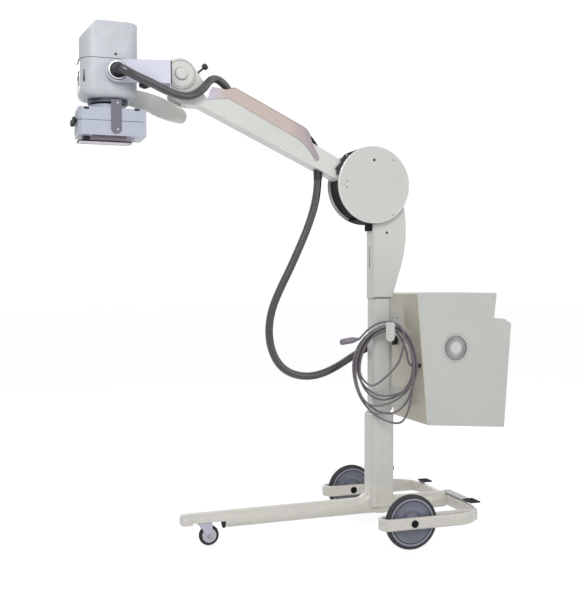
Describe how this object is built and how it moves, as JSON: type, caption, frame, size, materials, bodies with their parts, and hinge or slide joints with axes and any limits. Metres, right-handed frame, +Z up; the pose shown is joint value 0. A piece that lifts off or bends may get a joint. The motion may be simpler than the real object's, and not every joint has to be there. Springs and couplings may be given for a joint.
{
  "type": "mobile x-ray machine",
  "caption": "Mobile x-ray machine with a column on a wheeled tube base, a generator cabinet, a jointed arm, and a tube head with collimator",
  "frame": {"origin": "on the floor under the middle of the machine's bounding box", "axes": "+X points forwards to the tube head, +Y to the machine's left, +Z up"},
  "size_m": [1.6627, 0.645, 1.858],
  "materials": {
    "body_paint": "semi-gloss light grey-green",
    "head_shell": "semi-matte light grey-green moulded shell",
    "lilac_alloy": "satin pale lilac painted alloy",
    "hood_plastic": "matte warm beige",
    "disc_plastic": "matte grey-lilac",
    "black_plastic": "matte black",
    "rubber": "matte dark grey",
    "tyre_rubber": "matte dark grey",
    "pale_metal": "satin pale lilac",
    "steel": "brushed",
    "clear": "clear plastic"
  },
  "bodies": {
    "chassis": {"wheel_rail_left": "body_paint", "wheel_rail_right": "body_paint", "rear_bow": "body_paint", "spine_tube": "body_paint", "base_hub": "body_paint", "leg_tube": "body_paint", "caster_plate": "steel", "leg_end_cap": "black_plastic", "axle_left": "steel", "axle_right": "steel", "axle_plugs_left": "black_plastic", "axle_plugs_right": "black_plastic", "step_pads": "steel", "step_treads": "rubber", "column_sleeve": "body_paint", "column_tube": "body_paint", "sleeve_knob": "black_plastic", "column_neck": "body_paint", "joint_rim": "black_plastic", "joint_cover_left": "body_paint", "joint_cover_right": "body_paint", "joint_shaft": "steel", "neck_stop": "rubber", "cable_hook": "body_paint", "cabinet_shell": "body_paint", "vent_grille": "disc_plastic", "cabinet_bracket": "body_paint", "generator_block": "steel", "cabinet_glands": "black_plastic", "hose_lower": "rubber", "cable_coil": "rubber", "hand_switch": "disc_plastic"},
    "rear_wheel_left": {"tyre_left": "tyre_rubber", "wheel_disc_left": "disc_plastic"},
    "rear_wheel_right": {"tyre_right": "tyre_rubber", "wheel_disc_right": "disc_plastic"},
    "caster_fork": {"caster_fork": "pale_metal"},
    "caster_wheel": {"caster_wheel": "rubber"},
    "arm": {"arm_beam": "body_paint", "arm_shield": "black_plastic", "arm_hood": "hood_plastic", "knuckle_cover": "body_paint", "knuckle_pin": "steel", "lock_lever": "black_plastic", "hose_upper": "rubber"},
    "bracket": {"head_bracket": "lilac_alloy", "hose_gland": "steel", "tilt_knob": "black_plastic"},
    "head": {"head_lower": "head_shell", "head_cover": "head_shell", "turntable_ring": "black_plastic", "head_handle": "head_shell", "dial": "black_plastic"},
    "collimator": {"collimator_body": "lilac_alloy", "collimator_window": "clear", "collimator_knobs": "black_plastic", "filter_tray": "clear", "tray_posts": "black_plastic", "collimator_strap_left": "steel", "collimator_strap_right": "steel"}
  },
  "joints": [
    {"name": "rear_wheel_left_spin", "type": "hinge", "parent": "chassis", "child": "rear_wheel_left", "pos_m": [-0.344, 0.2865, 0.1], "axis": [0, 1, 0], "continuous": true},
    {"name": "rear_wheel_right_spin", "type": "hinge", "parent": "chassis", "child": "rear_wheel_right", "pos_m": [-0.344, -0.2865, 0.1], "axis": [0, 1, 0], "continuous": true},
    {"name": "caster_swivel", "type": "hinge", "parent": "chassis", "child": "caster_fork", "pos_m": [0.359, 0, 0.085], "axis": [0, 0, 1], "continuous": true},
    {"name": "caster_roll", "type": "hinge", "parent": "caster_fork", "child": "caster_wheel", "pos_m": [0.337, 0, 0.0375], "axis": [0, 1, 0], "continuous": true},
    {"name": "arm_lift", "type": "hinge", "parent": "chassis", "child": "arm", "pos_m": [-0.299, 0, 1.338], "axis": [0, -1, 0], "range_deg": [-68, 18], "deforming": ["hose_lower"]},
    {"name": "bracket_pitch", "type": "hinge", "parent": "arm", "child": "bracket", "pos_m": [0.44294, 0, 1.708], "axis": [0, -1, 0], "range_deg": [-30, 30], "deforming": ["hose_upper"]},
    {"name": "head_tilt", "type": "hinge", "parent": "bracket", "child": "head", "pos_m": [0.678, 0, 1.688], "axis": [0, -1, 0], "range_deg": [-20, 20]},
    {"name": "collimator_turn", "type": "hinge", "parent": "head", "child": "collimator", "pos_m": [0.697, 0, 1.568], "axis": [0, 0, 1], "range_deg": [-45, 45]}
  ]
}
